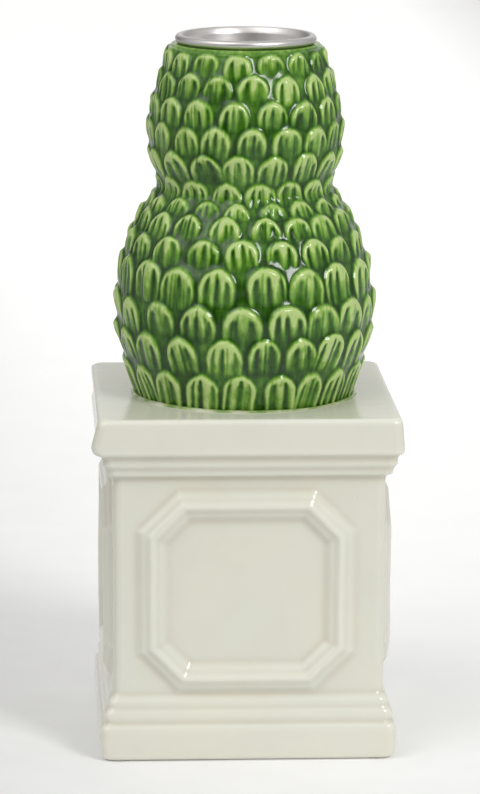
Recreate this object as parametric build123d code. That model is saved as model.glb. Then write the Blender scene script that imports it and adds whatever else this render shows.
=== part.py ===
from build123d import *
import os

os.makedirs("parts", exist_ok=True)

# A glazed earthenware candle holder: a hollow two-tier clipped-bush casting standing on a hollow
# square plinth casting, a loose spun-metal candle cup hung by its rolled rim in the mouth of the
# bush, and four felt pads under the plinth.
# Millimetres, +Z up. The origin is on the surface it stands on, under the middle of the plinth.

# Heights above the plinth's foot rim
PLINTH_HEIGHT = 111.7
SLAB_UNDERSIDE = 100.0
DIE_TOP = 91.2
BASE_MOULD_TOP = 21.4
BAND_HEIGHT = 11.2

# Half widths of the square plinth
BAND_HALF = 47.6
DIE_HALF = 43.6
SLAB_LOWER_HALF = 49.2
SLAB_UPPER_HALF = 48.6
SLAB_ROUND = 1.5
CORNER_ROUND = 1.8

# Base moulding and cornice, going up: half width, height, and rise of the arc that leads there
# (zero for a straight run, positive for a hollow, negative for a bead)
BASE_MOULDING = (
    (BAND_HALF, 0.8, 0.0),
    (BAND_HALF, BAND_HEIGHT - 0.6, 0.0),
    (BAND_HALF - 0.8, BAND_HEIGHT + 0.2, -0.2),
    (46.2, 12.2, 0.0),
    (46.5, 13.4, 0.0),
    (45.3, 16.8, -0.5),
    (45.3, 17.2, 0.0),
    (DIE_HALF + 0.5, BASE_MOULD_TOP - 1.0, -0.5),
    (DIE_HALF, BASE_MOULD_TOP, 0.1),
)
CORNICE = (
    (DIE_HALF, DIE_TOP, 0.0),
    (45.4, 92.9, 0.4),
    (45.9, 93.7, -0.2),
    (46.8, 96.0, 0.4),
    (47.2, 97.0, -0.2),
    (48.0, 99.8, 0.5),
    (48.5, SLAB_UNDERSIDE, 0.0),
    (SLAB_LOWER_HALF, SLAB_UNDERSIDE + 0.7, -0.2),
    (SLAB_UPPER_HALF, PLINTH_HEIGHT - SLAB_ROUND, 0.0),
    (SLAB_UPPER_HALF - SLAB_ROUND, PLINTH_HEIGHT, -0.44),
)
FOOT_CHAMFER = 0.8

# Hollow of the plinth
CAVITY_HALF = 38.6
CAVITY_CORNER = 8.0
CAVITY_HEIGHT = 104.5
VENT_RADIUS = 12.0

# Raised octagonal frame on each face of the die
FRAME_MIDDLE = 54.7
FRAME_HALF_WIDTH = 35.7
FRAME_HALF_HEIGHT = 33.8
FRAME_CORNER = 13.4
FRAME_BAND = 11.2
FRAME_RELIEF = 3.1
FRAME_TAPER = 40.0
# Steps of the frame's section: inset from both edges of the band, and height of the step's top
FRAME_STEPS = ((0.4, 0.45 * FRAME_RELIEF), (2.4, 0.75 * FRAME_RELIEF), (4.0, FRAME_RELIEF))
FRAME_ROOT = 0.5
# How much an octagon's corner cut shortens for each millimetre that its sides move in
CORNER_SHRINK = 2 - 2**0.5

# Felt pads
PAD_THICKNESS = 0.5
PAD_RADIUS = 4.75
PAD_OFFSET = 41.5

# Bush: each course of leaves as height above the slab where it stands proudest, and radius there
LEAF_COURSES = (
    (11.3, 40.3),
    (22.3, 42.8),
    (32.8, 43.2),
    (44.0, 41.6),
    (52.5, 38.6),
    (59.5, 35.2),
    (64.3, 31.6),
    (71.5, 29.6),
    (80.5, 32.2),
    (89.3, 32.6),
    (97.5, 31.2),
    (105.5, 28.7),
)
TIP_RISE = 2.0
TIP_CURL = 1.6
FOOT_RADIUS = 36.0
SHOULDER_RADIUS = 26.9
SHOULDER_HEIGHT = 111.9
LIP_RADIUS = 24.0
LIP_HEIGHT = 114.2
LIP_ROUND = 0.7
WALL = 4.5
SEAT_DEPTH = 6.0
SEAM_WIDTH = 1.5
SEAM_HEIGHT = 1.3
SEAM_HOLLOW = 0.3

# Candle cup, spun from thin sheet
CUP_BORE = 20.0
SHEET = 0.5
CUP_DEPTH = 25.0
CUP_CORNER = 2.0
ROLL_RADIUS = 1.4
ROLL_GAP_ANGLE = 70.0
CUP_SIDE_CLEARANCE = 0.5
CUP_SEAT_CLEARANCE = 0.15

slab_top = PAD_THICKNESS + PLINTH_HEIGHT
lip_top = slab_top + LIP_HEIGHT


def upright_face(steps):
    """Closed face in the XZ plane from (x, z, rise) steps, each an arc or a straight run."""
    edges = []
    start = steps[0][:2]
    for x, z, rise in steps[1:]:
        end = (x, z)
        if rise:
            edges.append(SagittaArc(start, end, rise))
        else:
            edges.append(Line(start, end))
        start = end
    edges.append(Line(start, steps[0][:2]))
    return Rot(90, 0, 0) * make_face(Curve() + edges)


def plinth_section():
    """Full upright section of the plinth: band, beaded base, die, cornice and slab."""
    foot = ((0.0, 0.0, 0.0), (BAND_HALF - FOOT_CHAMFER, 0.0, 0.0))
    slab_middle = (0.0, PLINTH_HEIGHT, 0.0)
    half = upright_face((*foot, *BASE_MOULDING, *CORNICE, slab_middle))
    return half + mirror(half, Plane.YZ)


def square_moulding(section):
    """Square-plan solid with mitred corners: one section run along Y, and again along X."""
    along_y = extrude(section, amount=SLAB_LOWER_HALF + 2, dir=(0, 1, 0), both=True)
    along_x = Rot(0, 0, 90) * along_y
    plan = RectangleRounded(2 * SLAB_LOWER_HALF, 2 * SLAB_LOWER_HALF, CORNER_ROUND)
    rounded_block = extrude(plan, amount=PLINTH_HEIGHT)
    return along_y & along_x & rounded_block


def frame_octagon(inset):
    """The frame's outer octagon with its sides moved in by the inset."""
    width = 2 * (FRAME_HALF_WIDTH - inset)
    height = 2 * (FRAME_HALF_HEIGHT - inset)
    rectangle = Rectangle(width, height)
    return chamfer(rectangle.vertices(), FRAME_CORNER - CORNER_SHRINK * inset)


def frame_step(inset, height):
    """One step of the octagonal frame, sloping on both sides."""
    outer = frame_octagon(inset)
    inner = frame_octagon(FRAME_BAND - inset)
    outside = extrude(outer, amount=height, taper=FRAME_TAPER)
    inside = extrude(inner, amount=height, taper=-FRAME_TAPER)
    root = extrude(outer - inner, amount=-FRAME_ROOT)
    return outside - inside + root


def panel_frame():
    """Octagonal frame on the front face of the die."""
    frame = Part()
    for inset, height in FRAME_STEPS:
        frame = frame + frame_step(inset, height)
    front = Plane(origin=(0, -DIE_HALF, FRAME_MIDDLE), x_dir=(1, 0, 0), z_dir=(0, -1, 0))
    return front * frame


def make_plinth():
    body = square_moulding(plinth_section())
    frame = panel_frame()
    for quarter in range(4):
        body = body + Rot(0, 0, 90 * quarter) * frame
    cavity_plan = RectangleRounded(2 * CAVITY_HALF, 2 * CAVITY_HALF, CAVITY_CORNER)
    cavity = extrude(cavity_plan, amount=CAVITY_HEIGHT)
    vent = extrude(Circle(VENT_RADIUS), amount=PLINTH_HEIGHT)
    return Pos(0, 0, PAD_THICKNESS) * (body - cavity - vent)


def make_bush():
    """Thrown shape of the bush: overlapping courses outside, a smooth hollow inside."""
    steps = [(FOOT_RADIUS, 0.0, 0.0)]
    for proud_height, proud_radius in LEAF_COURSES:
        steps.append((proud_radius, proud_height, 0.0))
        steps.append((proud_radius - TIP_CURL, proud_height + TIP_RISE, 0.0))
    seat_radius = CUP_BORE + SHEET + CUP_SIDE_CLEARANCE
    steps.append((SHOULDER_RADIUS, SHOULDER_HEIGHT, 0.0))
    steps.append((LIP_RADIUS, LIP_HEIGHT, -LIP_ROUND))
    steps.append((seat_radius, LIP_HEIGHT, 0.0))
    steps.append((seat_radius, LIP_HEIGHT - SEAT_DEPTH, 0.0))
    for proud_height, proud_radius in reversed(LEAF_COURSES[:-1]):
        steps.append((proud_radius - TIP_CURL - WALL, proud_height, 0.0))
    steps.append((FOOT_RADIUS - WALL, 0.0, 0.0))
    return Pos(0, 0, slab_top) * revolve(upright_face(steps), Axis.Z)


def make_seam():
    """Small hollow fillet of slip where the bush is luted to the top of the plinth."""
    first_height, first_radius = LEAF_COURSES[0]
    lean = (first_radius - FOOT_RADIUS) / first_height
    steps = (
        (FOOT_RADIUS, 0.0, 0.0),
        (FOOT_RADIUS + SEAM_WIDTH, 0.0, 0.0),
        (FOOT_RADIUS + SEAM_HEIGHT * lean, SEAM_HEIGHT, SEAM_HOLLOW),
    )
    return Pos(0, 0, slab_top) * revolve(upright_face(steps), Axis.Z)


def make_cup():
    """Spun cup: flat bottom, straight wall and an outward-rolled rim."""
    outer = CUP_BORE + SHEET
    wall_height = CUP_DEPTH - CUP_CORNER + ROLL_RADIUS
    wall_middle = ROLL_RADIUS - wall_height / 2
    wall = Pos(CUP_BORE + SHEET / 2, wall_middle) * Rectangle(SHEET, wall_height)

    floor_width = outer - CUP_CORNER
    floor = Pos(floor_width / 2, SHEET / 2 - CUP_DEPTH) * Rectangle(floor_width, SHEET)

    corner_ring = Circle(CUP_CORNER) - Circle(CUP_CORNER - SHEET)
    corner_window = Pos(CUP_CORNER / 2, -CUP_CORNER / 2) * Rectangle(CUP_CORNER, CUP_CORNER)
    corner = Pos(floor_width, CUP_CORNER - CUP_DEPTH) * (corner_ring & corner_window)

    roll_ring = Circle(ROLL_RADIUS) - Circle(ROLL_RADIUS - SHEET)
    gap_block = Pos(ROLL_RADIUS, 0) * Rectangle(2 * ROLL_RADIUS, ROLL_RADIUS)
    gap = Rot(0, 0, 180 + ROLL_GAP_ANGLE / 2) * gap_block
    roll = Pos(CUP_BORE + ROLL_RADIUS, ROLL_RADIUS) * (roll_ring - gap)

    section = Rot(90, 0, 0) * (wall + floor + corner + roll)
    return Pos(0, 0, lip_top + CUP_SEAT_CLEARANCE) * revolve(section, Axis.Z)


def make_pad(quarter):
    pad = Pos(PAD_OFFSET, PAD_OFFSET) * extrude(Circle(PAD_RADIUS), amount=PAD_THICKNESS)
    return Rot(0, 0, 90 * quarter) * pad


parts = {
    "plinth": make_plinth(),
    "topiary": make_bush(),
    "slip_seam": make_seam(),
    "candle_cup": make_cup(),
}
for quarter in range(4):
    parts[f"foot_pad_{quarter + 1}"] = make_pad(quarter)

for node, shape in parts.items():
    export_step(shape, f"parts/{node}.step")
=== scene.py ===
import math

import bpy
import numpy as np
from mathutils import Matrix, Vector


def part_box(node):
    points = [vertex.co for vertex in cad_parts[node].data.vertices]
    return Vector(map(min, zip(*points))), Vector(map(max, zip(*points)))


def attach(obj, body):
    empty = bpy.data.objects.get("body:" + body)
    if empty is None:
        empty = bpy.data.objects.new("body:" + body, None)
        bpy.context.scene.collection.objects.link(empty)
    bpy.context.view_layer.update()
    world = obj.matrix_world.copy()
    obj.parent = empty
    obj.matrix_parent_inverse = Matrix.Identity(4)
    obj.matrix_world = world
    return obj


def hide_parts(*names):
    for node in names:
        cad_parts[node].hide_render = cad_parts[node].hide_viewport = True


# A glazed candle holder: a two-tier clipped bush in green glaze on a square cream plinth, with a
# spun-metal cup in its top. Lengths in this script are millimetres until a mesh is made.

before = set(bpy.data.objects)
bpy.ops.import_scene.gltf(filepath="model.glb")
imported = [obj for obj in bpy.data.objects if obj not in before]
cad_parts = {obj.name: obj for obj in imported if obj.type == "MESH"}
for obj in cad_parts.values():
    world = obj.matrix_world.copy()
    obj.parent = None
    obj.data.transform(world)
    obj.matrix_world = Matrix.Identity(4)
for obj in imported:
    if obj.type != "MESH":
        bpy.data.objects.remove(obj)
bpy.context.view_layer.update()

MM = 0.001
FINE = 1.0

# Places taken from the frame
PLINTH_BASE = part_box("plinth")[0].z / MM
SLAB_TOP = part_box("plinth")[1].z / MM
LIP_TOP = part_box("topiary")[1].z / MM
CUP_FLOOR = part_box("candle_cup")[0].z / MM
CUP_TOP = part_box("candle_cup")[1].z / MM
CUP_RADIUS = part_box("candle_cup")[1].x / MM

# Camera
CAMERA_DISTANCE = 1341.0
CAMERA_AZIMUTH = -3.32
CAMERA_HEIGHT = PLINTH_BASE + 378.9
CAMERA_PITCH = 11.36
CAMERA_AIM = 0.034
CAMERA_ROLL = 0.31
CAMERA_LENS = 189.3
CAMERA_SENSOR = 36.0

# Studio: soft round panels of the surroundings, each as its azimuth from the front to the right,
# its elevation, the half angles where it is full and where it ends, and its brightness
WORLD_PANELS = (
    (0, 90, 170, 179, 0.12),  # all round
    (0, 90, 15, 85, 0.44),  # overhead
    (-84, 12, 18, 54, 0.42),  # left
    (98, 8, 12, 42, 0.36),  # right
    (-50, 48, 8, 28, 2.0),  # bright one, high at the front left
    (170, 12, 10, 40, 0.60),  # behind
    (-16, 12, 5, 22, -0.16),  # dark place where the photographer stands
)
WORLD_COLOUR = (1.0, 0.995, 0.985, 1.0)
# Key light, in metres and watts
KEY_PLACE = (1.18, -1.62, 1.43)
KEY_TARGET = (0.0, 0.0, 0.12)
KEY_SIZE = (0.68, 0.84)
KEY_POWER = 28.2
# Floor, in metres. Its paper is pale and glows inside ovals that reach far behind the object, and
# is painted darker outside them as painted shade towards the camera: the scale and shift give the
# oval, and the pairs say where each effect is full and where it ends
FLOOR_HALF = 6.0
OVAL_SCALE = (3.0, 0.45, 1.0)
OVAL_SHIFT = (-0.2, -0.9, 0.0)
PALE_OVAL = (0.85, 2.2)
GLOW_OVAL = (0.6, 1.1)
FLOOR_GLOW = 0.42

# Plinth
BAND_HEIGHT = 11.2
BAND_HALF = 47.6
BASE_MOULD_TOP = 21.4
DIE_HALF = 43.6
DIE_TOP = 91.2
SLAB_UNDERSIDE = 100.0
SLAB_LOWER_HALF = 49.2
SLAB_UPPER_HALF = 48.6
SLAB_ROUND = 1.5
PLINTH_HEIGHT = 111.7
CORNER_ROUND = 3.0
CAVITY_HALF = 38.6
CAVITY_CORNER = 8.0
CAVITY_HEIGHT = 104.5
CAVITY_ROUND = 3.0
VENT_RADIUS = 12.0
VENT_ROUND = 0.8
FOOT_RIM_ROUND = 1.0
# Half width below which the plan turns from a rounded square into the vent's circle
SQUARE_FROM = CAVITY_HALF - 6
# Flat left in the middle of each side of that circle
LEAST_FLAT = 0.02
# Outline of the outside going up: half width, height, rise of the arc that leads there
OUTSIDE = (
    (BAND_HALF - 1.4, 0.0, 0.0),
    (BAND_HALF - 0.3, 1.5, -0.35),
    (BAND_HALF, 4.5, -0.05),
    (BAND_HALF, BAND_HEIGHT - 0.6, 0.0),
    (BAND_HALF - 0.8, BAND_HEIGHT + 0.2, -0.2),
    (46.2, 12.2, 0.0),
    (46.5, 13.4, 0.0),
    (45.3, 16.8, -0.5),
    (45.3, 17.2, 0.0),
    (DIE_HALF + 0.5, BASE_MOULD_TOP - 1.0, -0.5),
    (DIE_HALF, BASE_MOULD_TOP, 0.1),
    (DIE_HALF, DIE_TOP, 0.0),
    (45.4, 92.9, 0.4),
    (45.9, 93.7, -0.2),
    (46.8, 96.0, 0.4),
    (47.2, 97.0, -0.2),
    (48.0, 99.8, 0.5),
    (48.5, SLAB_UNDERSIDE, 0.0),
    (SLAB_LOWER_HALF, SLAB_UNDERSIDE + 0.7, -0.2),
    (SLAB_UPPER_HALF, PLINTH_HEIGHT - SLAB_ROUND, 0.0),
    (SLAB_UPPER_HALF - SLAB_ROUND, PLINTH_HEIGHT, -0.44),
)
# Raised octagonal frame: its crest line, and its height against distance from that line
CREST_HALF_WIDTH = 30.1
CREST_HALF_HEIGHT = 28.2
CREST_CORNER = 10.1
FRAME_MIDDLE = 54.7
FRAME_DISTANCE = (0.0, 0.6, 1.4, 2.1, 2.5, 2.9, 3.6, 4.3, 5.0, 5.6)
FRAME_HEIGHT = (3.1, 2.95, 2.35, 1.85, 1.75, 1.65, 1.2, 0.6, 0.2, 0.0)
# How far each face's frame sits to one side of its middle
FRAME_SHIFTS = (-0.9, 0.4, -0.3, 0.6)
FRAME_SOFTENING = 0.4
EDGE_SOFTENING = 0.6
# Slow unevenness of the casting's outside and of the slab's top
CASTING_SWELL = 0.16
TOP_SWELL = 0.1
# How far the slab's left side leans in, at distances behind the middle, and the heights between
# which it leans, with the distances over which the lean comes and goes
LEAN_PLACES = (-46, -36, -15, 48)
LEANS = (-1.9, -0.3, 0.8, 1.5)
LEAN_FROM, LEAN_COMES = 99.0, 4
LEAN_TO, LEAN_GOES = 110.5, 9
# How far the slab's top rises at the back
BACK_RISE = 0.5
# Where the cream glaze pools: spread over which hollows are seen, and the deepest counted
POOL_SPREAD = 1.1
POOL_LIMIT = 0.6
# Steps of the grid up the outside and along its faces, and the columns that each half of a
# corner takes, starting a little before it
MOULD_STEP = 0.36 * FINE
FACE_STEP = 0.6 * FINE
CORNER_COLUMNS = round(18 / FINE)
CORNER_LEAD = 2.5

# Bush: rows of leaves going up, as height above the slab where they stand proudest, radius there,
# height of their tips above that, number of leaves, and the turns in degrees of the front ones
LEAF_ROWS = (
    (11.3, 40.4, 2.3, 20, (-43, -24, -5, 14, 31, 49)),
    (22.3, 43.0, 2.9, 20, (-53, -33, -12, 6, 23, 40)),
    (32.8, 43.4, 3.0, 19, (-66, -45, -24, -4, 16, 34, 51)),
    (44.0, 41.8, 3.6, 18, (-73, -53, -35, -15, 6, 26, 44)),
    (52.5, 38.8, 3.2, 19, (-64, -44, -24, -5, 15, 33, 51)),
    (59.5, 35.4, 2.9, 18, (-55, -35, -14, 7, 26, 43)),
    (64.3, 31.8, 2.7, 18, (-48, -27, -8, 14, 32)),
    (71.5, 29.8, 2.3, 16, (-62, -39, -16, 7, 27, 48)),
    (80.5, 32.4, 2.0, 16, (-52, -29, -7, 15, 37)),
    (89.3, 32.7, 2.0, 17, (-41, -21, 1, 23, 43)),
    (97.5, 31.3, 1.9, 16, (-33, -10, 13, 35)),
    (105.5, 28.8, 1.6, 16, (-21, 2, 26)),
    (111.8, 26.9, 2.2, 16, (-32, -9, 14, 37)),
)
FOOT_RADIUS = 36.3
WAIST = (68.3, 28.4)
# How far the ground between the leaves is cut in at the foot and at the waist
FOOT_CUT = 1.6
WAIST_CUT = 1.2
# Size of leaf taken there
SMALL_LEAF = 1.8
# Shoulder under the lip, going up: height above the slab, radius, and size of leaf
SHOULDER = ((112.6, 25.6, 1.4), (113.4, 25.1, 1.0), (113.9, 24.4, 0.6))
LIP_RADIUS = 23.6
MOUTH_RADIUS = 21.0
MOUTH_ROUND = 0.5
SEAT_DEPTH = 6.0
WALL = 4.5
# How far the outside of the wall, as the hollow follows it, lies inside the leaves
HOLLOW_INSET = 1.6
# Depth of the bore that the glaze does not reach
BARE_BORE = 4.0
# Size of a leaf, as a share of half its pitch, and half its width, as a share of its pitch
LEAF_PROUD = 0.33
LEAF_WIDTH = 0.515
# Half width from which a leaf has three flutes more often than not
WIDE_LEAF = 5.0
# How far a leaf runs on under the row below, and the lowest row beyond the slab's top
LEAF_OVERLAP = 2.2
FOOT_OVERRUN = 6.0
# How far a leaf strays from its place, as a share of its pitch round the bush and in millimetres
# up it, and how many degrees it tilts
TURN_STRAYS, TIP_STRAYS, TILTS = 0.03, 0.45, 6
# Painted light and shade on each leaf: how much paler its tip is painted, and how much darker down
# to its foot
TIP_PAINTED_LIGHT, FOOT_PAINTED_SHADE = 0.05, 0.22
# Depth of the ground under the surface that the rows give
GROUND_DEPTH = 0.45
# The leaves fade out over this distance under the lip
LIP_FADE = 2.6
# The bush and the cup stand a little to the right of the plinth's middle
ASIDE = 0.45
BUSH_SWELL = 0.12
# Share of the run over the lip that the unevenness reaches
LIP_SWELLS = 0.4
# Samples of the ground's profile, and the spreads that soften it under the shoulder and all over
PROFILE_SAMPLES = 1200
GROUND_SOFTENING, PROFILE_SOFTENING = 1.3, 0.3
BUSH_ROW_STEP = 0.33 * FINE
BUSH_COLUMNS = round(832 / FINE)
# Radius at which the bush's column step is measured for blurring
BUSH_MEAN_RADIUS = 36
LIP_STEP = 0.45 * FINE
HOLLOW_STEP = 3.0
# Thickness of the green glaze, which its colour follows: an even part, a share of how sunk a
# place is, and then, for each spread in millimetres, a share of how far a place lies below its
# surroundings, in hollows and on crests
GLAZE_EVEN = 0.16
GLAZE_SUNK = 0.31
GLAZE_LOWER = ((3.5, 0.12, 0.12), (0.5, 0.54, 0.40), (1.3, 0.40, 0.18))
GLAZE_SOFTENING, SHADE_SOFTENING = 0.24, 0.4
GLAZE_ON_LIP = 0.26
GLAZE_RANGE = (-0.2, 1.4)
# How far the glaze fills hollows, as a spread and a share: everywhere, and between the leaves
FILLET_SPREAD, FILLET_SHARE = 1.3, 0.9
POCKET_SPREAD, POCKET_SHARE = 2.0, 1.1
SURFACE_SOFTENING = 0.55

# Bead at the foot of the bush: its section in widths of the bead as (x, z, rise) steps
SEAM_SECTION = ((0.0, 1.0, 0), (1.0, 0.0, 0.28), (1.0, -0.06, 0), (-1.2, -0.06, 0))
SEAM_INNER_TOP = (-1.2, 1.0)
SEAM_WIDTH = 0.8
SEAM_WIDTHS = (0.4, 1.3)
SEAM_HEIGHT = 0.7
SEAM_SWELL = 0.5
SEAM_STEP = 0.12
SEAM_COLUMNS = 400

# Cup
CUP_BORE = 20.0
SHEET = 0.5
ROLL_RADIUS = 1.4
# Turns in degrees where the rolled rim starts and ends, and its step
ROLL_TURNS = (122, -125, -9)
CUP_CORNER = 2.0
CUP_FLARE = 5.0
CUP_DRAW = 0.5
CUP_STEP = 0.7
CUP_COLUMNS = 256

# Felt pads
FELT_ROUND = 0.3
FELT_FUZZ = 0.025
FELT_STEP = 0.22
FELT_COLUMNS = 96

# Radius of the small hole in a grid that stands for a flat middle
CENTRE = 0.02

rng = np.random.default_rng(11)


# ---------------------------------------------------------------- meshes


def grid_mesh(name, points, closed=False, fields=None):
    """Smooth quad mesh from points[row, column] in millimetres, whose columns close into a ring."""
    rows, columns = points.shape[:2]
    index = np.arange(rows * columns).reshape(rows, columns)
    lower = index if closed else index[:-1]
    upper = np.roll(index, -1, axis=0) if closed else index[1:]
    corners = (lower, np.roll(lower, -1, axis=1), np.roll(upper, -1, axis=1), upper)
    quads = np.stack(corners, axis=-1).reshape(-1, 4)
    mesh = bpy.data.meshes.new(name)
    mesh.vertices.add(rows * columns)
    mesh.vertices.foreach_set("co", (points * MM).astype(np.float32).ravel())
    mesh.loops.add(quads.size)
    mesh.loops.foreach_set("vertex_index", quads.ravel().astype(np.int32))
    mesh.polygons.add(len(quads))
    mesh.polygons.foreach_set("loop_start", np.arange(0, quads.size, 4, dtype=np.int32))
    mesh.polygons.foreach_set("use_smooth", np.ones(len(quads), dtype=bool))
    mesh.update(calc_edges=True)
    mesh.validate()
    for field_name, values in (fields or {}).items():
        attribute = mesh.attributes.new(field_name, "FLOAT", "POINT")
        attribute.data.foreach_set("value", values.astype(np.float32).ravel())
    obj = bpy.data.objects.new(name, mesh)
    bpy.context.scene.collection.objects.link(obj)
    return obj


def arc_points(start, end, rise, step):
    """Points after start up to end along an arc of that rise, positive to the left of the way."""
    start, end = np.array(start, float), np.array(end, float)
    chord = np.linalg.norm(end - start)
    count = max(1, round(chord / step))
    t = np.arange(1, count + 1)[:, None] / count
    straight = start + (end - start) * t
    across = np.array((start[1] - end[1], end[0] - start[0])) / chord
    if rise == 0:
        return straight
    radius = (chord**2 / 4 + rise**2) / (2 * abs(rise))
    sag = np.sqrt(np.maximum(radius**2 - (chord * (t - 0.5)) ** 2, 0)) - (radius - abs(rise))
    return straight + across * sag * math.copysign(1, rise)


def outline(steps, step):
    """Points along an outline of (x, z, rise) steps, about one step apart."""
    points = [np.array([steps[0][:2]])]
    for last, following in zip(steps, steps[1:]):
        points.append(arc_points(last[:2], following[:2], following[2], step))
    return np.concatenate(points)


def smooth_along(values, spread):
    """Gaussian blur of rows of values, with the ends kept in place; spread in rows."""
    reach = int(3 * spread) + 1
    weights = np.exp(-0.5 * (np.arange(-reach, reach + 1) / spread) ** 2)
    weights /= weights.sum()
    padded = np.concatenate(
        [
            2 * values[:1] - values[reach:0:-1],
            values,
            2 * values[-1:] - values[-2 : -reach - 2 : -1],
        ]
    )
    return sum(w * padded[i : i + len(values)] for i, w in enumerate(weights))


def smooth_around(values, spread):
    """Gaussian blur of columns that close into a ring; spread in columns."""
    reach = int(3 * spread) + 1
    offsets = np.arange(-reach, reach + 1)
    weights = np.exp(-0.5 * (offsets / spread) ** 2)
    weights /= weights.sum()
    return sum(w * np.roll(values, -k, axis=1) for k, w in zip(offsets, weights))


def blurred(field, spread, row_step, column_step):
    """Gaussian blur of a field on the grid, by a spread in millimetres."""
    return smooth_around(smooth_along(field, spread / row_step), spread / column_step)


def grid_normals(points):
    """Unit normals of a ring grid, outward where its rows go up the outside."""
    around = np.roll(points, -1, axis=1) - np.roll(points, 1, axis=1)
    along = np.gradient(points, axis=0)
    normals = np.cross(around, along)
    return normals / np.maximum(np.linalg.norm(normals, axis=2, keepdims=True), 1e-9)


def swell(around, height, seed, amplitude):
    """Slow unevenness of a hand-finished casting, as a few waves round it and up it."""
    waves = np.random.default_rng(seed)
    total = np.zeros(np.broadcast(around, height).shape)
    for turns in (1, 2, 3, 5, 7):
        for length in (34.0, 61.0):
            phase_around, phase_up = waves.uniform(0, 2 * math.pi, 2)
            wave_up = np.sin(height * 2 * math.pi / length + phase_up)
            total = total + np.sin(turns * around + phase_around) * wave_up / turns
    return total * amplitude / 2


def eased(value):
    """Smooth step from 0 to 1."""
    value = np.clip(value, 0, 1)
    return value * value * (3 - 2 * value)


def ring_angles(columns):
    """Angles of the columns of a body of revolution, from the front round by the right."""
    return np.arange(columns) * 2 * math.pi / columns


def turned(radius, height, angles, centre):
    """Points of a body of revolution about a centre, from its radii and heights by row."""
    x, y, z = centre
    across, back = radius * np.sin(angles) + x, y - radius * np.cos(angles)
    return np.stack(np.broadcast_arrays(across, back, height + z), axis=2)


# ---------------------------------------------------------------- plinth


def ring_fractions():
    """Places of the columns along an eighth of the plinth's plan, closer together at the corner."""
    flat = SLAB_LOWER_HALF - CORNER_ROUND
    length = flat + CORNER_ROUND * math.pi / 4
    coarse = np.arange(0, flat - CORNER_LEAD, FACE_STEP)
    fine = np.linspace(coarse[-1], length, CORNER_COLUMNS)[1:]
    return np.concatenate([coarse, fine]) / length


def square_ring(half, corner, fractions):
    """Plan of a square with round corners, from the middle of the front round by the right."""
    flat = half - corner
    travel = fractions * (flat + corner * math.pi / 4)
    angle = np.clip(travel - flat, 0, None) / corner
    x = np.minimum(travel, flat) + corner * np.sin(angle)
    y = -(flat + corner * np.cos(angle))
    first = np.stack([x, y], axis=1)
    second = np.stack([-y, -x], axis=1)[-2:0:-1]
    quadrant = np.concatenate([first, second])
    quadrants = [quadrant]
    for _ in range(3):
        quadrant = np.stack([-quadrant[:, 1], quadrant[:, 0]], axis=1)
        quadrants.append(quadrant)
    return np.concatenate(quadrants)


def ring_faces(fractions):
    """For each column, the number of the face it is on and the way that face looks."""
    first, second = len(fractions), len(fractions) - 2
    faces = []
    for quarter in range(4):
        faces += [quarter] * first + [(quarter + 1) % 4] * second
    faces = np.array(faces)
    return faces, np.array([(0, -1), (1, 0), (0, 1), (-1, 0)])[faces]


def octagon_frame(along, height):
    """Height of the raised frame above its face."""
    x, z = np.abs(along), np.abs(height)
    to_side = np.maximum(x - CREST_HALF_WIDTH, z - CREST_HALF_HEIGHT)
    reach = CREST_HALF_WIDTH + CREST_HALF_HEIGHT - CREST_CORNER
    to_corner = (x + z - reach) / math.sqrt(2)
    distance = np.abs(np.maximum(to_side, to_corner))
    return np.interp(distance, FRAME_DISTANCE, FRAME_HEIGHT)


def plinth_section():
    """Section of the plinth's wall, from the vent along the top of the hollow and round by the
    foot rim, the outside and the top back to the vent, and the rows that each run takes."""
    cove_half, cove_height = CAVITY_HALF - CAVITY_ROUND, CAVITY_HEIGHT - CAVITY_ROUND
    vent_half, vent_height = VENT_RADIUS + VENT_ROUND, PLINTH_HEIGHT - VENT_ROUND
    foot = ((CAVITY_HALF + FOOT_RIM_ROUND, 0.0, -0.3), OUTSIDE[0])
    # Name, step, points left out at the end, and (x, z, rise) steps
    runs = (
        ("ceiling", 3.0, 0, (VENT_RADIUS, CAVITY_HEIGHT, 0), (cove_half, CAVITY_HEIGHT, 0)),
        ("cove", 0.8, 0, (cove_half, CAVITY_HEIGHT, 0), (CAVITY_HALF, cove_height, 0.88)),
        ("hollow", 4.0, 0, (CAVITY_HALF, cove_height, 0), (CAVITY_HALF, FOOT_RIM_ROUND, 0)),
        ("rim", 0.8, 1, (CAVITY_HALF, FOOT_RIM_ROUND, 0), *foot),
        ("outside", MOULD_STEP, 0, *OUTSIDE),
        ("top", 1.0 * FINE, 0, OUTSIDE[-1], (vent_half, PLINTH_HEIGHT, 0)),
        ("vent_edge", 0.4, 0, (vent_half, PLINTH_HEIGHT, 0), (VENT_RADIUS, vent_height, 0.24)),
        ("vent", 1.2, 1, (VENT_RADIUS, vent_height, 0), (VENT_RADIUS, CAVITY_HEIGHT, 0)),
    )
    parts, rows, taken = [], {}, 0
    for name, step, left_out, *steps in runs:
        points = outline(steps, step)
        if name == "outside":
            points = smooth_along(points, EDGE_SOFTENING / step)
        elif name != "ceiling":
            points = points[1:]
        points = points[: len(points) - left_out]
        parts.append(points)
        rows[name] = slice(taken, taken + len(points))
        taken += len(points)
    return np.concatenate(parts), rows


def plan_corners(widths, rows):
    """Corner radius of the plan at each row: the hollow's, the outside's, or the vent's circle."""
    rim, top = rows["rim"], rows["top"]
    corner = np.full(len(widths), CORNER_ROUND)
    corner[: rim.start] = CAVITY_CORNER
    to_circle = np.clip((SQUARE_FROM - widths) / (SQUARE_FROM - VENT_RADIUS), 0, 1)
    to_circle[rim.start : top.start] = 0
    corner = corner + (widths - LEAST_FLAT - corner) * to_circle
    corner[rim] = np.linspace(CAVITY_CORNER, CORNER_ROUND, rim.stop - rim.start)
    return corner


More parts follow.
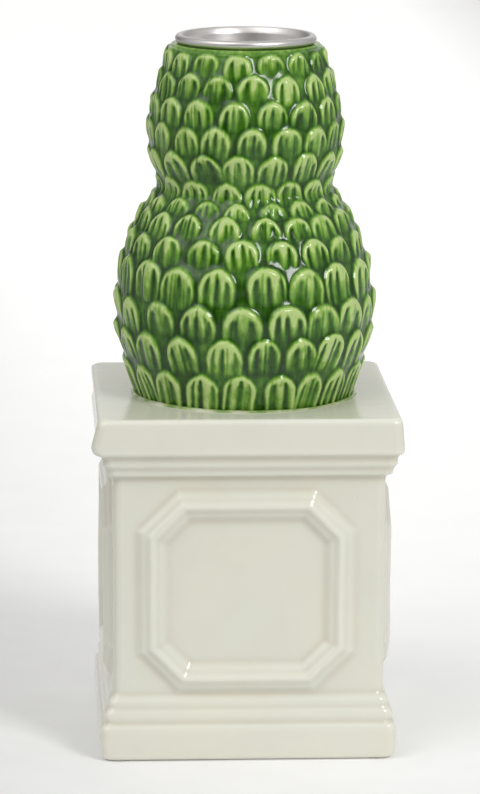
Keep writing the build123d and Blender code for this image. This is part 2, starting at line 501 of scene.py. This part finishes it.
def warp_plinth(points, heights, outside, top):
    """Move the points as the casting is warped, on rows marked as the outside and the top."""
    around = np.arctan2(points[..., 0], -points[..., 1])
    outward = points[..., :2] / np.linalg.norm(points[..., :2], axis=2, keepdims=True)
    unevenness = swell(around, heights, 3, CASTING_SWELL) * outside[:, None]
    points[..., :2] += outward * unevenness[..., None]
    # The slab's left side leans out towards its underside at the front, and in further back
    lean = np.clip((heights - LEAN_FROM) / LEAN_COMES, 0, 1)
    lean = lean * np.clip((LEAN_TO - heights) / LEAN_GOES, 0, 1)
    lean = lean * outside[:, None] * eased(-points[..., 0] / 25 - 0.9)
    points[..., 0] += lean * np.interp(points[..., 1], LEAN_PLACES, LEANS)
    # The slab rises a little towards the back, and most at its top
    points[..., 2] += BACK_RISE * np.clip(heights / 8 - 12.9, 0, 1) * eased(points[..., 1] / 50)
    # The top is uneven away from its middle
    off_middle = 1 - np.clip(1 - np.hypot(points[..., 0], points[..., 1]) / 60, 0, 1)
    points[..., 2] += swell(around, heights * 0 + 9, 5, TOP_SWELL) * top[:, None] * off_middle


def make_plinth():
    section, rows = plinth_section()
    widths = section[:, 0]
    row_numbers = np.arange(len(section))
    outside = (row_numbers >= rows["outside"].start) & (row_numbers < rows["outside"].stop)
    glazed = (row_numbers >= rows["outside"].start) & (row_numbers < rows["vent_edge"].stop)
    top = (row_numbers >= rows["top"].start) & (section[:, 1] > PLINTH_HEIGHT - 0.1)

    fractions = ring_fractions()
    faces, directions = ring_faces(fractions)
    corners = plan_corners(widths, rows)
    plan = np.stack([square_ring(w, c, fractions) for w, c in zip(widths, corners)])
    heights = np.repeat(section[:, 1][:, None], plan.shape[1], axis=1)
    along = plan[..., 1] * directions[:, 0] - plan[..., 0] * directions[:, 1]
    relief = octagon_frame(along - np.array(FRAME_SHIFTS)[faces], heights - FRAME_MIDDLE)
    relief = blurred(relief * outside[:, None], FRAME_SOFTENING, MOULD_STEP, FACE_STEP)
    relief[~outside] = 0
    points = np.concatenate([plan + relief[..., None] * directions, heights[..., None]], axis=2)
    warp_plinth(points, heights, outside, top)

    soft = blurred(points, POOL_SPREAD, MOULD_STEP, FACE_STEP)
    pool = ((soft - points) * grid_normals(points)).sum(axis=2)
    pool = np.clip(pool, -POOL_LIMIT, POOL_LIMIT) * glazed[:, None]
    bare = np.repeat(np.where(glazed, 0.0, 1.0)[:, None], points.shape[1], axis=1)
    points[..., 2] += PLINTH_BASE
    plinth = grid_mesh("plinth_casting", points, closed=True, fields={"pool": pool, "bare": bare})
    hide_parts("plinth")
    return plinth


# ---------------------------------------------------------------- bush


def leaf_height(across, down, leaf):
    """Height of one leaf above the ground, at points across it and down from its tip."""
    half, arch, length, power = leaf["half"], leaf["arch"], leaf["length"], leaf["point"]
    far = np.clip(down / length, 0, 1)
    above = np.clip(1 - down / arch, 0, 1)
    across = across - leaf["lean"] * down
    # Arched at the tip, and a little narrower towards the foot
    side = np.abs(across / (half * (1 - 0.12 * far**2)))
    edge = (side**power + above**power) ** (1 / power)
    inset = (1 - edge) * half
    # A rounded flank, a crest just inside it, and a shallow dish in the middle
    flank = leaf["flank"] * (0.62 + 0.38 * above)
    body = eased(0.12 + 0.88 * inset / flank) * (inset > 0)
    crest = np.exp(-(((inset - 1.05 * flank) / 0.5) ** 2)) * (0.3 + 0.7 * above)
    dish = leaf["dish"] * eased((inset - flank) / (0.45 * half))
    lift = np.interp(far, (0, 0.08, 0.3, 0.6, 0.85, 1.0), (0.92, 1.0, 1.0, 0.90, 0.60, 0.15))
    height = leaf["relief"] * lift * (body - dish + leaf["crest"] * crest)
    # Flutes that fan out from the tip and open downwards
    local_half = half * (1 - above**power) ** (1 / power) * 0.97
    for middle, start, width, depth in leaf["flutes"]:
        open_up = eased((down - start) / (0.9 * arch))
        centre = middle * local_half
        groove = np.exp(-(np.abs((across - centre) / (width * (0.40 + 0.60 * open_up))) ** 2.4))
        height = height * (1 - depth * groove * eased((down - start) / (0.25 * arch)))
    return height


def draw_leaf(half, length, size):
    """Random but repeatable shape of one hand-carved leaf."""
    half = half * rng.uniform(0.88, 1.05)
    arch = half * rng.uniform(0.88, 1.25)
    count = rng.choice((2, 2, 2, 3, 3)) if half > WIDE_LEAF else rng.choice((2, 2, 3))
    inner = (half - 1.1) / half
    middles = ((np.arange(count) + 0.5) / count * 2 - 1) * inner + rng.uniform(-0.12, 0.12, count)
    width = 0.43 * 2 * half * inner / count
    flutes = [
        (
            middle,
            arch * (rng.uniform(0.18, 0.46) + 0.24 * abs(middle)),
            width * rng.uniform(0.50, 1.05),
            rng.uniform(0.50, 0.88),
        )
        for middle in middles
    ]
    # Fine veins between them
    for middle in rng.uniform(-0.75, 0.75, 3):
        start, width = arch * rng.uniform(0.05, 0.4), rng.uniform(0.28, 0.42)
        flutes.append((middle, start, width, rng.uniform(0.25, 0.45)))
    return {
        "half": half,
        "arch": arch,
        "point": rng.uniform(1.55, 2.1),
        "length": length * rng.uniform(0.92, 1.05),
        "relief": size * rng.uniform(0.85, 1.15),
        "lean": rng.uniform(-0.08, 0.08),
        "flank": 0.8 + 0.22 * half * rng.uniform(0.85, 1.15),
        "dish": rng.uniform(0.0, 0.12),
        "crest": rng.uniform(0.02, 0.07),
        "shade": rng.normal(0.0, 0.06),
        "flutes": flutes,
    }


def leaf_turns(count, front):
    """Turns in degrees of a row: the front ones as given, the others evenly round the back."""
    left = count - len(front)
    spaces = (360 - (front[-1] - front[0])) / (left + 1)
    return list(front) + [front[-1] + spaces * (k + 1) for k in range(left)]


def bush_ground():
    """Heights and radii up the surface between the leaves, and the size of leaf there."""
    ground = [(0.0, FOOT_RADIUS - FOOT_CUT, SMALL_LEAF)]
    for height, radius, _, count, _ in LEAF_ROWS:
        size = LEAF_PROUD * math.pi * radius / count
        if ground[-1][0] < WAIST[0] < height:
            ground.append((WAIST[0], WAIST[1] - WAIST_CUT, SMALL_LEAF))
        ground.append((height, radius - size, size))
    return np.array([*ground, *SHOULDER]).T


def bush_profile():
    """Rows evenly spaced up the ground: distance travelled, height, radius, and size of leaf."""
    heights, radii, sizes = bush_ground()
    fine_heights, spacing = np.linspace(0, heights[-1], PROFILE_SAMPLES, retstep=True)
    sharp = np.interp(fine_heights, heights, radii)[:, None]
    under_shoulder = fine_heights[:, None] < SHOULDER[0][0]
    ground = smooth_along(sharp, GROUND_SOFTENING / spacing)
    fine_radii = np.where(under_shoulder, ground, sharp)
    fine_radii = smooth_along(fine_radii, PROFILE_SOFTENING / spacing)[:, 0]
    travelled = np.cumsum(np.hypot(np.diff(fine_heights), np.diff(fine_radii)))
    travelled = np.concatenate([[0], travelled])
    places = np.linspace(0, travelled[-1], round(travelled[-1] / BUSH_ROW_STEP))
    row_heights = np.interp(places, travelled, fine_heights)
    row_radii = np.interp(places, travelled, fine_radii)
    return places, row_heights, row_radii, np.interp(row_heights, heights, sizes)


def carve_leaves(places, row_heights, row_radii, angles):
    """Height of all the leaves above the ground, and each one's own tone, painted darker towards
    its foot as painted shade.
    """
    relief = np.zeros((len(places), len(angles)))
    shade = np.zeros(relief.shape)
    tips = [height + rise for height, _, rise, _, _ in LEAF_ROWS]
    for row, (height, radius, rise, count, front) in enumerate(LEAF_ROWS):
        pitch = 2 * math.pi / count
        half = LEAF_WIDTH * pitch * radius
        size = LEAF_PROUD * math.pi * radius / count
        tip_place = np.interp(height + rise, row_heights, places)
        below = tips[row - 1] if row else 0.0
        length = tip_place - np.interp(below, row_heights, places) + LEAF_OVERLAP
        if row == 0:
            length += FOOT_OVERRUN
        for turn in leaf_turns(count, front):
            leaf = draw_leaf(half, length, size)
            centre = math.radians(turn) + pitch * rng.uniform(-TURN_STRAYS, TURN_STRAYS)
            tip = tip_place + rng.uniform(-TIP_STRAYS, TIP_STRAYS)
            tilt = math.radians(rng.uniform(-TILTS, TILTS))
            near = np.nonzero((places > tip - length) & (places < tip + 0.5))[0]
            off_centre = (angles - centre + math.pi) % (2 * math.pi) - math.pi
            close = np.nonzero(np.abs(off_centre) < 1.25 * pitch / 2 + 0.06)[0]
            across = off_centre[close][None, :] * (row_radii[near][:, None] + size)
            down = np.repeat((tip - places[near])[:, None], len(close), axis=1)
            across, down = (
                across * math.cos(tilt) + (down - leaf["arch"]) * math.sin(tilt),
                down * math.cos(tilt) - across * math.sin(tilt),
            )
            window = np.ix_(near, close)
            height_here = leaf_height(across, down, leaf)
            # A leaf's own tone, with painted light at its tip and painted shade down to its foot
            tone_and_painted_shade = leaf["shade"] + FOOT_PAINTED_SHADE * eased(down / (1.1 * length)) - TIP_PAINTED_LIGHT
            shade[window] = np.where(height_here > relief[window], tone_and_painted_shade, shade[window])
            relief[window] = np.maximum(relief[window], height_here)
    return relief, shade


def glaze_and_leaf_painted_shade(relief, sunk, shade, steps):
    """Thickness of the glaze over the carving, thick in hollows and thin on crests, with the
    leaves' tones and their painted shade added.
    """
    glaze_and_painted_shade = GLAZE_EVEN + GLAZE_SUNK * sunk
    for spread, in_hollows, on_crests in GLAZE_LOWER:
        lower = blurred(relief, spread, *steps) - relief
        glaze_and_painted_shade = glaze_and_painted_shade + np.where(lower > 0, in_hollows, on_crests) * lower
    # The leaves' tones carry painted light at their tips and painted shade towards their feet
    return blurred(glaze_and_painted_shade, GLAZE_SOFTENING, *steps) + blurred(shade, SHADE_SOFTENING, *steps)


def glazed_surface(relief, sunk, steps):
    """Carving with its hollows filled by the glaze in broad fillets."""
    fillet = FILLET_SHARE * (blurred(relief, FILLET_SPREAD, *steps) - relief)
    pocket = POCKET_SHARE * (blurred(relief, POCKET_SPREAD, *steps) - relief)
    fill = np.maximum(fillet, pocket * eased(2 * sunk - 0.6))
    return blurred(relief + np.clip(fill, 0, None), SURFACE_SOFTENING, *steps)


def make_bush():
    columns = BUSH_COLUMNS
    angles = ring_angles(columns)
    places, row_heights, row_radii, row_sizes = bush_profile()
    steps = (places[1], 2 * math.pi * BUSH_MEAN_RADIUS / columns)

    relief, shade = carve_leaves(places, row_heights, row_radii, angles)
    relief = relief * eased((places[-1] - places) / LIP_FADE)[:, None] - GROUND_DEPTH
    whole_depth = row_sizes[:, None] + GROUND_DEPTH
    sunk = np.clip(1 - (relief + GROUND_DEPTH) / whole_depth, 0, 1)
    glaze_and_painted_shade = glaze_and_leaf_painted_shade(relief, sunk, shade, steps)
    surface = glazed_surface(relief, sunk, steps)
    slope, rise = np.gradient(row_radii, places), np.gradient(row_heights, places)
    carved_radius = row_radii[:, None] + surface * rise[:, None]
    carved_height = np.maximum(row_heights[:, None] - surface * slope[:, None], 0.0)

    # Lip, the bore for the cup, and the hollow
    lip_height = LIP_TOP - SLAB_TOP
    over = outline(
        (
            (row_radii[-1], row_heights[-1], 0),
            (LIP_RADIUS, lip_height, -0.06),
            (MOUTH_RADIUS + MOUTH_ROUND, lip_height, 0),
            (MOUTH_RADIUS, lip_height - MOUTH_ROUND, -0.15),
            (MOUTH_RADIUS, lip_height - SEAT_DEPTH, 0),
        ),
        LIP_STEP,
    )[1:]
    hollow_steps = [(MOUTH_RADIUS, lip_height - SEAT_DEPTH, 0)]
    for height, radius, _, _, _ in reversed(LEAF_ROWS[:-2]):
        hollow_steps.append((radius - HOLLOW_INSET - WALL, height, 0))
    hollow_steps.append((FOOT_RADIUS - WALL, 0.0, 0))
    hollow_steps.append((FOOT_RADIUS - 2.0, 0.0, 0))
    rest = np.concatenate([over, outline(hollow_steps, HOLLOW_STEP)[1:]])
    rest_height = np.repeat(rest[:, 1:], columns, axis=1)
    on_lip = (np.arange(len(rest)) < len(over) * LIP_SWELLS)[:, None]
    rest_radius = rest[:, :1] + swell(angles[None, :], rest_height, 8, BUSH_SWELL) * on_lip

    carved_radius = carved_radius + swell(angles[None, :], carved_height, 8, BUSH_SWELL)
    radius = np.concatenate([carved_radius, rest_radius])
    height = np.concatenate([carved_height, rest_height])
    points = turned(radius, height, angles, (ASIDE, 0.0, SLAB_TOP))
    glaze_and_painted_shade = np.concatenate([glaze_and_painted_shade, np.full(rest_radius.shape, GLAZE_ON_LIP)])
    bare = np.zeros(len(points))
    bare[len(carved_radius) + len(over) - round(BARE_BORE / LIP_STEP) :] = 1
    fields = {
        "glaze_and_painted_shade": np.clip(glaze_and_painted_shade, *GLAZE_RANGE),
        "bare": np.repeat(bare[:, None], columns, axis=1),
    }
    bush = grid_mesh("topiary_casting", points, closed=True, fields=fields)
    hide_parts("topiary")
    return bush


def make_seam():
    """Bead of slip and run glaze where the bush is luted to the slab."""
    angles = ring_angles(SEAM_COLUMNS)
    width = SEAM_WIDTH + swell(angles[None, :], np.zeros((1, 1)), 21, SEAM_SWELL)
    width = np.clip(width, *SEAM_WIDTHS)
    section = np.concatenate([outline(SEAM_SECTION, SEAM_STEP), [SEAM_INNER_TOP]])
    radius = FOOT_RADIUS + section[:, :1] * width
    height = section[:, 1:] * (SEAM_HEIGHT * width)
    points = turned(radius, height, angles, (ASIDE, 0.0, SLAB_TOP))
    seam = grid_mesh("slip_seam_bead", points[::-1], closed=True)
    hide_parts("slip_seam")
    return seam


# ---------------------------------------------------------------- cup and pads


def make_cup():
    depth = CUP_TOP - CUP_FLOOR
    bore = CUP_BORE - CUP_DRAW
    outer = bore + SHEET
    roll_x, roll_z = CUP_RADIUS - ROLL_RADIUS, depth - ROLL_RADIUS
    turn = np.radians(np.arange(*ROLL_TURNS))

    def rolled(radius, turns):
        return np.stack([roll_x + radius * np.cos(turns), roll_z + radius * np.sin(turns)], axis=1)

    inside = outline(
        (
            (CENTRE, SHEET, 0),
            (bore - CUP_CORNER + SHEET, SHEET, 0),
            (bore, CUP_CORNER, -0.44),
            (bore, roll_z - CUP_FLARE, 0),
            (CUP_BORE + 0.1, roll_z, 0.0),
            (roll_x - 0.9, depth - 0.35, -0.25),
        ),
        CUP_STEP,
    )
    outside = outline(
        (
            (outer, roll_z - 0.4, 0),
            (outer, CUP_CORNER, 0),
            (outer - CUP_CORNER, 0.0, -0.586),
            (CENTRE, 0.0, 0),
        ),
        CUP_STEP,
    )
    over, under = rolled(ROLL_RADIUS, turn), rolled(ROLL_RADIUS - SHEET, turn[::-1])
    section = np.concatenate([inside[:-1], over, under[:-1], outside])[::-1]
    angles = ring_angles(CUP_COLUMNS)
    points = turned(section[:, :1], section[:, 1:], angles, (ASIDE, 0.0, CUP_FLOOR))
    cup = grid_mesh("candle_cup_spun", points, closed=True)
    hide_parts("candle_cup")
    return cup


def make_pad(node):
    """Felt disc with a slightly rounded, fuzzy edge."""
    low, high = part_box(node)
    middle = (low + high) / 2 / MM
    radius = (high.x - low.x) / 2 / MM
    thickness_and_painted_shade = (high.z - low.z) / MM
    angles = ring_angles(FELT_COLUMNS)
    section = outline(
        (
            (CENTRE, 0.0, 0),
            (radius - FELT_ROUND, 0.0, 0),
            (radius, FELT_ROUND, -0.09),
            (radius, thickness_and_painted_shade, 0),
            (CENTRE, thickness_and_painted_shade, 0),
        ),
        FELT_STEP,
    )
    fibres = np.random.default_rng(len(node) + ord(node[-1]))
    fuzz = fibres.normal(0, FELT_FUZZ, (len(section), len(angles)))
    ring = section[:, :1] * (1 + fuzz / radius)
    points = turned(ring, section[:, 1:], angles, (middle.x, middle.y, low.z / MM))
    pad = grid_mesh(node.replace("foot_pad", "felt_pad"), points, closed=False)
    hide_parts(node)
    return pad


# ---------------------------------------------------------------- materials


class Nodes:
    """Short way to add and join shader nodes."""

    def __init__(self, name):
        self.material = bpy.data.materials.new(name)
        self.material.use_nodes = True
        self.tree = self.material.node_tree
        self.shader = self.tree.nodes["Principled BSDF"]

    def add(self, kind, inputs=None, **settings):
        node = self.tree.nodes.new(kind)
        for key, value in settings.items():
            setattr(node, key, value)
        for key, value in (inputs or {}).items():
            self.feed(node.inputs[key], value)
        return node

    def feed(self, socket, value):
        if isinstance(value, bpy.types.NodeSocket):
            self.tree.links.new(value, socket)
        elif isinstance(value, bpy.types.Node):
            self.tree.links.new(value.outputs[0], socket)
        else:
            socket.default_value = value

    def math(self, operation, a, b):
        return self.add("ShaderNodeMath", {0: a, 1: b}, operation=operation).outputs[0]

    def scaled(self, value, factor, offset):
        """The value times the factor plus the offset."""
        inputs = {0: value, 1: factor, 2: offset}
        return self.add("ShaderNodeMath", inputs, operation="MULTIPLY_ADD").outputs[0]

    def ramp(self, factor, stops):
        node = self.tree.nodes.new("ShaderNodeValToRGB")
        elements = node.color_ramp.elements
        while len(elements) < len(stops):
            elements.new(0.5)
        for element, (position, colour) in zip(elements, stops):
            element.position = position
            element.color = (*colour, 1.0)
        self.feed(node.inputs[0], factor)
        return node.outputs[0]

    def mix(self, factor, a, b, blend="MIX"):
        inputs = {0: factor, 6: a, 7: b}
        settings = {"data_type": "RGBA", "blend_type": blend}
        return self.add("ShaderNodeMix", inputs, **settings).outputs[2]

    def noise(self, vector, scale, detail=3.0, roughness=0.5):
        node = self.add(
            "ShaderNodeTexNoise",
            {"Vector": vector, "Scale": scale, "Detail": detail, "Roughness": roughness},
        )
        return node.outputs[0]

    def bump(self, height, strength, distance):
        node = self.add(
            "ShaderNodeBump", {"Height": height, "Strength": strength, "Distance": distance}
        )
        return node.outputs[0]

    def attribute(self, name):
        return self.add("ShaderNodeAttribute", attribute_name=name).outputs["Fac"]

    def position(self):
        return self.add("ShaderNodeTexCoord").outputs["Object"]

    def set(self, **values):
        for key, value in values.items():
            self.feed(self.shader.inputs[key.replace("_", " ")], value)


def green_glaze():
    """Translucent green glaze: pale where it is thin, dark where it pools, and painted darker
    towards each leaf's foot as painted shade.
    """
    n = Nodes("green_glaze")
    place = n.position()
    run = n.add("ShaderNodeMapping", {"Vector": place, "Scale": (1.0, 1.0, 0.22)}).outputs[0]
    cloud = n.scaled(n.noise(place, 90.0, 3.0), 0.36, -0.18)
    streak = n.scaled(n.noise(run, 900.0, 3.0), 0.60, -0.30)
    patches = n.scaled(n.noise(place, 300.0, 2.0), 0.40, -0.20)
    # This value follows the glaze's thickness and also carries the leaves' painted shade
    thickness_and_painted_shade = n.math("ADD", n.attribute("glaze_and_painted_shade"), cloud)
    thickness_and_painted_shade = n.math("ADD", thickness_and_painted_shade, n.math("ADD", streak, patches))
    colour = n.ramp(
        thickness_and_painted_shade,
        [
            (0.0, (0.445, 0.585, 0.21)),
            (0.08, (0.315, 0.475, 0.115)),
            (0.18, (0.225, 0.40, 0.072)),
            (0.34, (0.135, 0.29, 0.034)),
            (0.54, (0.060, 0.170, 0.014)),
            (0.78, (0.022, 0.082, 0.005)),
            (1.0, (0.010, 0.040, 0.003)),
        ],
    )
    bare = n.attribute("bare")
    clay_grain = n.noise(place, 900.0, 4.0)
    clay = n.ramp(clay_grain, [(0.3, (0.55, 0.49, 0.38)), (0.7, (0.66, 0.60, 0.48))])
    n.set(Base_Color=n.mix(bare, colour, clay))
    n.set(Roughness=n.scaled(bare, 0.6, 0.155))
    n.set(Normal=n.bump(n.noise(place, 260.0, 2.0), 0.12, 0.0004))
    n.set(IOR=1.46)
    return n.material


def cream_glaze():
    """Clear glaze over cream clay: warmer where it pools, with slow drifts and a few specks."""
    n = Nodes("cream_glaze")
    place = n.position()
    body = n.ramp(
        n.scaled(n.attribute("pool"), 0.9, 0.5),
        [
            (0.0, (0.80, 0.80, 0.72)),
            (0.5, (0.71, 0.705, 0.62)),
            (0.85, (0.63, 0.59, 0.49)),
        ],
    )
    cloud = n.noise(place, 38.0, 3.0)
    drift = n.ramp(cloud, [(0.35, (1.0, 0.985, 0.955)), (0.65, (0.965, 0.985, 0.985))])
    body = n.mix(1.0, body, drift, "MULTIPLY")
    warm = n.noise(place, 75.0, 2.0)
    blush = n.ramp(warm, [(0.5, (1.0, 1.0, 1.0)), (0.75, (1.0, 0.975, 0.955))])
    body = n.mix(1.0, body, blush, "MULTIPLY")
    specks = n.add("ShaderNodeTexVoronoi", {"Vector": place, "Scale": 90.0})
    speck = n.ramp(specks.outputs["Distance"], [(0.0, (0.78, 0.74, 0.66)), (0.035, (1, 1, 1))])
    body = n.mix(0.6, body, speck, "MULTIPLY")
    bare = n.attribute("bare")
    clay_grain = n.noise(place, 900.0, 4.0)
    clay = n.ramp(clay_grain, [(0.3, (0.56, 0.50, 0.40)), (0.7, (0.67, 0.61, 0.50))])
    n.set(Base_Color=n.mix(bare, body, clay))
    n.set(Roughness=n.scaled(bare, 0.58, 0.15))
    n.set(Normal=n.bump(n.noise(place, 130.0, 3.0), 0.16, 0.0006))
    n.set(IOR=1.5)
    return n.material


def seam_glaze():
    """Green glaze that thins to cream over the bead."""
    n = Nodes("seam_glaze")
    cloud = n.noise(n.position(), 160.0, 3.0)
    colour = n.ramp(
        cloud,
        [(0.35, (0.12, 0.26, 0.04)), (0.5, (0.34, 0.42, 0.18)), (0.65, (0.62, 0.62, 0.48))],
    )
    n.set(Base_Color=colour, Normal=n.bump(cloud, 0.2, 0.0004), Roughness=0.12)
    return n.material


def spun_steel():
    """Steel with the fine rings of spinning and a little handling."""
    n = Nodes("spun_steel")
    place = n.position()
    apart = n.add("ShaderNodeSeparateXYZ", {"Vector": place})
    x2 = n.math("MULTIPLY", apart.outputs[0], apart.outputs[0])
    y2 = n.math("MULTIPLY", apart.outputs[1], apart.outputs[1])
    radius = n.add("ShaderNodeMath", {0: n.math("ADD", x2, y2)}, operation="SQRT").outputs[0]
    rings = n.add("ShaderNodeCombineXYZ", {"X": radius, "Y": apart.outputs[2]})
    lines = n.noise(rings.outputs[0], 2600.0, 2.0)
    smudge = n.noise(place, 60.0, 3.0)
    colour = n.ramp(lines, [(0.3, (0.69, 0.67, 0.655)), (0.7, (0.77, 0.75, 0.735))])
    n.set(Base_Color=colour, Roughness=n.scaled(smudge, 0.12, 0.33))
    n.set(Normal=n.bump(lines, 0.06, 0.0001), Metallic=1.0)
    return n.material


def felt():
    n = Nodes("felt")
    place = n.position()
    fibres = n.noise(place, 2400.0, 5.0, 0.7)
    tufts = n.ramp(n.noise(place, 500.0, 3.0), [(0.4, (0.5, 0.5, 0.5)), (0.6, (1, 1, 1))])
    colour = n.ramp(fibres, [(0.3, (0.40, 0.37, 0.32)), (0.7, (0.62, 0.59, 0.52))])
    colour = n.mix(0.35, colour, tufts, "MULTIPLY")
    n.set(Base_Color=colour, Normal=n.bump(fibres, 0.7, 0.0003))
    n.set(Roughness=0.95, Sheen_Weight=0.4)
    return n.material


def pale_floor():
    """Paper that is paler, and glows a little, inside ovals round the object and behind it, and is
    painted darker outside them as painted shade.
    """
    n = Nodes("pale_floor")
    place = n.position()
    inputs = {"Vector": place, "Scale": OVAL_SCALE, "Location": OVAL_SHIFT}
    oval = n.add("ShaderNodeMapping", inputs)
    away = n.add("ShaderNodeVectorMath", {0: oval}, operation="LENGTH").outputs["Value"]
    near = {"Value": away, "From Min": PALE_OVAL[0], "From Max": PALE_OVAL[1]}
    near |= {"To Min": 1.0, "To Max": 0.0}
    near = n.add("ShaderNodeMapRange", near, interpolation_type="SMOOTHSTEP").outputs[0]
    grain = n.noise(place, 40.0, 3.0)
    paper = n.ramp(grain, [(0.3, (0.76, 0.76, 0.755)), (0.7, (0.79, 0.79, 0.785))])
    # Darker paper outside the ovals: painted shade on the floor towards the camera
    painted_shade_paper = n.ramp(grain, [(0.3, (0.52, 0.52, 0.515)), (0.7, (0.55, 0.55, 0.545))])
    n.set(Base_Color=n.mix(near, painted_shade_paper, paper), Roughness=0.8)
    lit = {"Value": away, "From Min": GLOW_OVAL[0], "From Max": GLOW_OVAL[1]}
    lit |= {"To Min": FLOOR_GLOW, "To Max": 0.0}
    n.set(Emission_Strength=n.add("ShaderNodeMapRange", lit))
    n.set(Emission_Color=(1.0, 1.0, 1.0, 1.0))
    return n.material


# ---------------------------------------------------------------- studio


def make_camera():
    azimuth, pitch = math.radians(CAMERA_AZIMUTH), math.radians(CAMERA_PITCH)
    heading = azimuth + math.radians(CAMERA_AIM)
    place = Vector(
        (
            CAMERA_DISTANCE * math.sin(azimuth) * MM,
            -CAMERA_DISTANCE * math.cos(azimuth) * MM,
            CAMERA_HEIGHT * MM,
        )
    )
    ahead = Vector(
        (
            -math.sin(heading) * math.cos(pitch),
            math.cos(heading) * math.cos(pitch),
            -math.sin(pitch),
        )
    )
    right = ahead.cross(Vector((0, 0, 1))).normalized()
    right = Matrix.Rotation(-math.radians(CAMERA_ROLL), 3, ahead) @ right
    up = right.cross(ahead)
    rotation = Matrix((right, up, -ahead)).transposed()
    data = bpy.data.cameras.new("camera")
    data.lens = CAMERA_LENS
    data.sensor_width = CAMERA_SENSOR
    data.clip_start = 0.01
    data.clip_end = 50.0
    camera = bpy.data.objects.new("camera", data)
    camera.matrix_world = Matrix.Translation(place) @ rotation.to_4x4()
    bpy.context.scene.collection.objects.link(camera)
    bpy.context.scene.camera = camera


def make_softbox(name, place, target, size, power):
    data = bpy.data.lights.new(name, "AREA")
    data.shape = "RECTANGLE"
    data.size, data.size_y = size
    data.energy = power
    light = bpy.data.objects.new(name, data)
    light.location = place
    light.rotation_euler = (Vector(target) - Vector(place)).to_track_quat("-Z", "Y").to_euler()
    bpy.context.scene.collection.objects.link(light)


def make_world():
    """Surroundings that shine as the sum of the world's panels."""
    world = bpy.data.worlds.new("studio")
    bpy.context.scene.world = world
    world.use_nodes = True
    tree = world.node_tree
    background = tree.nodes["Background"]
    direction = tree.nodes.new("ShaderNodeTexCoord").outputs["Generated"]
    total = None
    for azimuth, elevation, inner, outer, value in WORLD_PANELS:
        a, e = math.radians(azimuth), math.radians(elevation)
        dot = tree.nodes.new("ShaderNodeVectorMath")
        dot.operation = "DOT_PRODUCT"
        tree.links.new(direction, dot.inputs[0])
        dot.inputs[1].default_value = (
            math.sin(a) * math.cos(e),
            -math.cos(a) * math.cos(e),
            math.sin(e),
        )
        edge = tree.nodes.new("ShaderNodeMapRange")
        edge.interpolation_type = "SMOOTHSTEP"
        edge.inputs["From Min"].default_value = math.cos(math.radians(outer))
        edge.inputs["From Max"].default_value = math.cos(math.radians(inner))
        edge.inputs["To Min"].default_value = 0.0
        edge.inputs["To Max"].default_value = value
        tree.links.new(dot.outputs["Value"], edge.inputs["Value"])
        if total is None:
            total = edge.outputs[0]
        else:
            add = tree.nodes.new("ShaderNodeMath")
            add.operation = "ADD"
            tree.links.new(total, add.inputs[0])
            tree.links.new(edge.outputs[0], add.inputs[1])
            total = add.outputs[0]
    tree.links.new(total, background.inputs["Strength"])
    background.inputs["Color"].default_value = WORLD_COLOUR


def make_floor():
    half = FLOOR_HALF
    mesh = bpy.data.meshes.new("floor")
    corners = [(-half, -half, 0), (half, -half, 0), (half, half, 0), (-half, half, 0)]
    mesh.from_pydata(corners, [], [(0, 1, 2, 3)])
    floor = bpy.data.objects.new("floor", mesh)
    bpy.context.scene.collection.objects.link(floor)
    floor.data.materials.append(pale_floor())


make_camera()
pieces = (
    (make_plinth(), "holder", "cream_glaze", cream_glaze()),
    (make_bush(), "holder", "green_glaze", green_glaze()),
    (make_seam(), "holder", "seam_glaze", seam_glaze()),
    (make_cup(), "cup", "spun_steel", spun_steel()),
)
felt_material = felt()
for number in range(1, 5):
    pieces += ((make_pad(f"foot_pad_{number}"), "holder", "felt", felt_material),)
for piece, body, slot_name, material in pieces:
    piece.data.materials.append(material)
    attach(piece, body)

make_floor()
make_world()
make_softbox("key", KEY_PLACE, KEY_TARGET, KEY_SIZE, KEY_POWER)
bpy.context.scene.view_settings.view_transform = "Standard"
